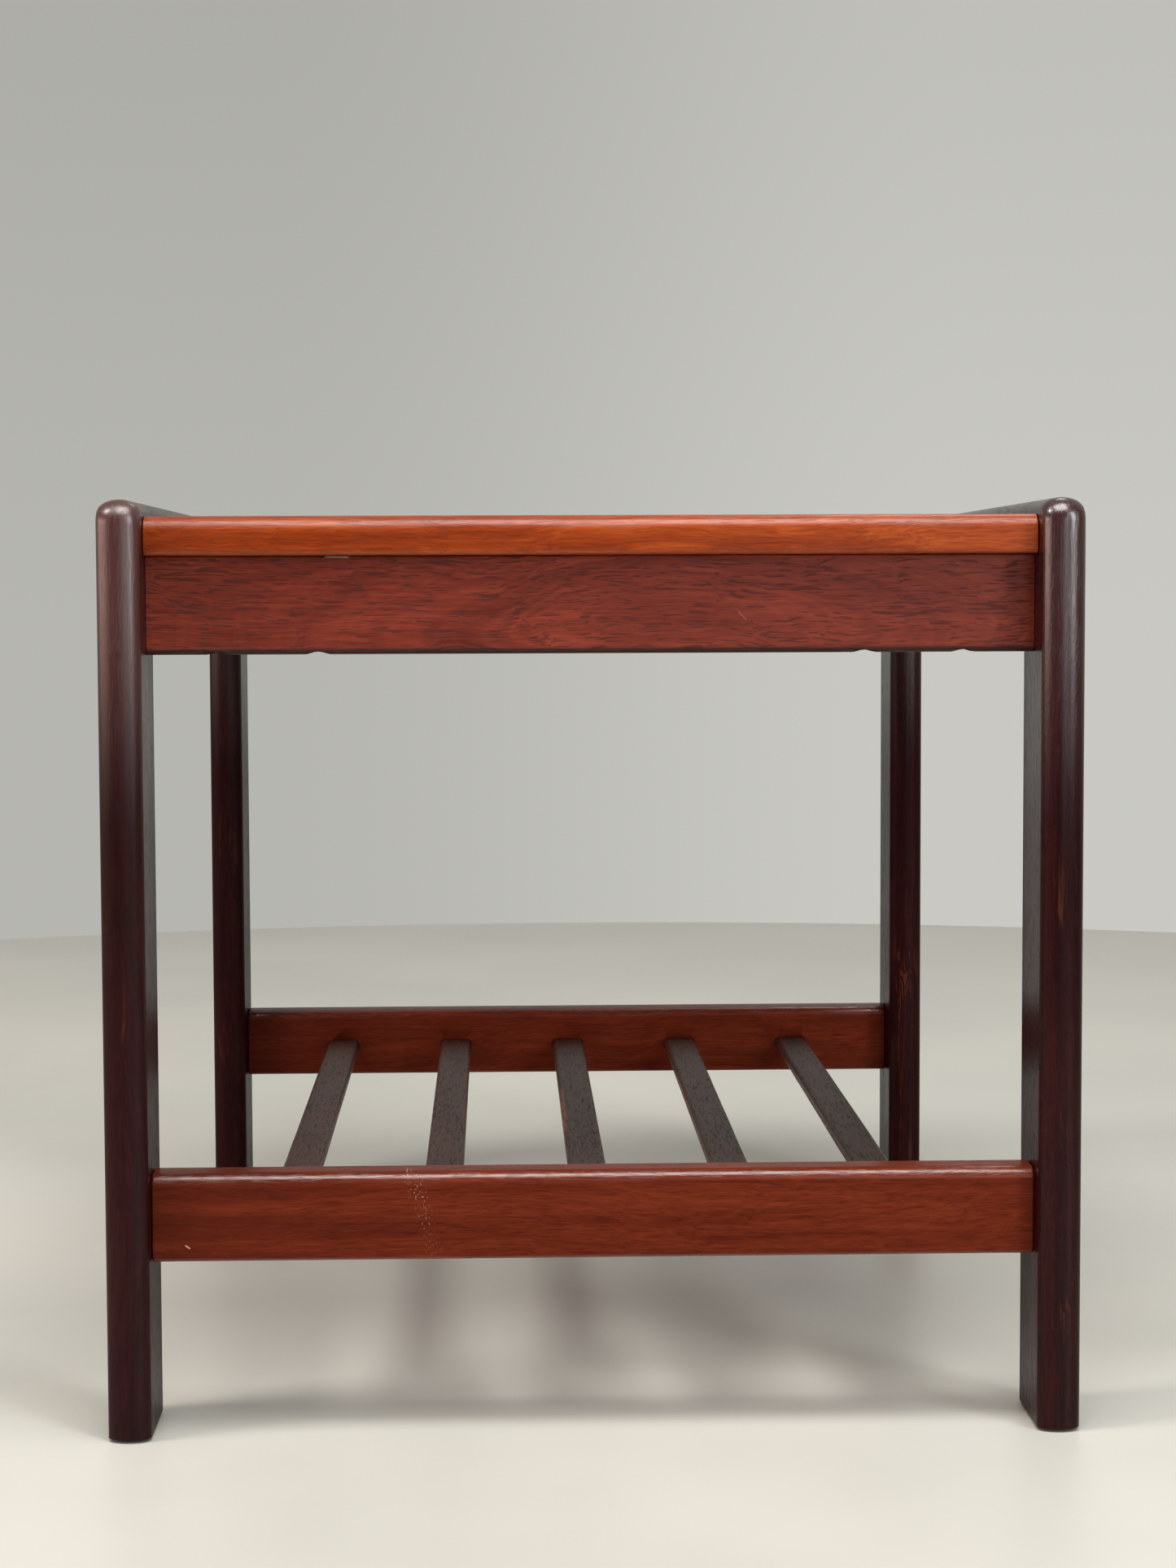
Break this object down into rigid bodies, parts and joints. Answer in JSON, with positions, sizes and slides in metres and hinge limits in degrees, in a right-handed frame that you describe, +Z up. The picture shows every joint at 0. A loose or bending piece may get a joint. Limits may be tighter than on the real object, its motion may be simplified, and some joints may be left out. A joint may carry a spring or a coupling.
{
  "type": "slatted side table",
  "caption": "Rigid mahogany side table or luggage stand: nosed side frames, veneered top set between them, and an open slatted shelf below.",
  "frame": {"origin": "on the floor, under the middle of the table", "axes": "+Z up, +X to the right across the front apron, +Y from front to back along the slats"},
  "size_m": [0.52, 0.665, 0.5],
  "materials": {
    "leg_mahogany": "very dark red-brown stain under satin-gloss lacquer",
    "apron_mahogany": "red-brown mahogany with dark pores, satin lacquer",
    "shelf_rail_mahogany": "red mahogany with fine grain, satin lacquer",
    "lipping_wood": "amber solid mahogany, satin lacquer",
    "top_veneer": "mahogany veneer, satin lacquer",
    "backing_veneer": "plain balancing veneer, unlacquered",
    "chipboard": "raw chipboard",
    "slat_wood": "dark grey-brown stain, worn satin lacquer",
    "beech": "raw beech",
    "screw_steel": "plain steel",
    "glide_plastic": "dark brown moulded plastic on a nail"
  },
  "bodies": {
    "root": {"leg_front_left": "leg_mahogany", "foot_glide_front_left": "glide_plastic", "leg_front_right": "leg_mahogany", "foot_glide_front_right": "glide_plastic", "apron_front": "apron_mahogany", "shelf_rail_front": "shelf_rail_mahogany", "top_lipping_front": "lipping_wood", "leg_back_left": "leg_mahogany", "foot_glide_back_left": "glide_plastic", "leg_back_right": "leg_mahogany", "foot_glide_back_right": "glide_plastic", "apron_back": "apron_mahogany", "shelf_rail_back": "shelf_rail_mahogany", "top_lipping_back": "lipping_wood", "side_rail_left": "leg_mahogany", "side_rail_right": "leg_mahogany", "slat_1": "slat_wood", "slat_2": "slat_wood", "slat_3": "slat_wood", "slat_4": "slat_wood", "slat_5": "slat_wood", "top_veneer": "top_veneer", "top_backing_veneer": "backing_veneer", "top_core": "chipboard", "apron_dowels": "beech", "shelf_rail_dowels": "beech", "side_rail_dowels": "beech", "top_screws": "screw_steel"}
  },
  "joints": []
}
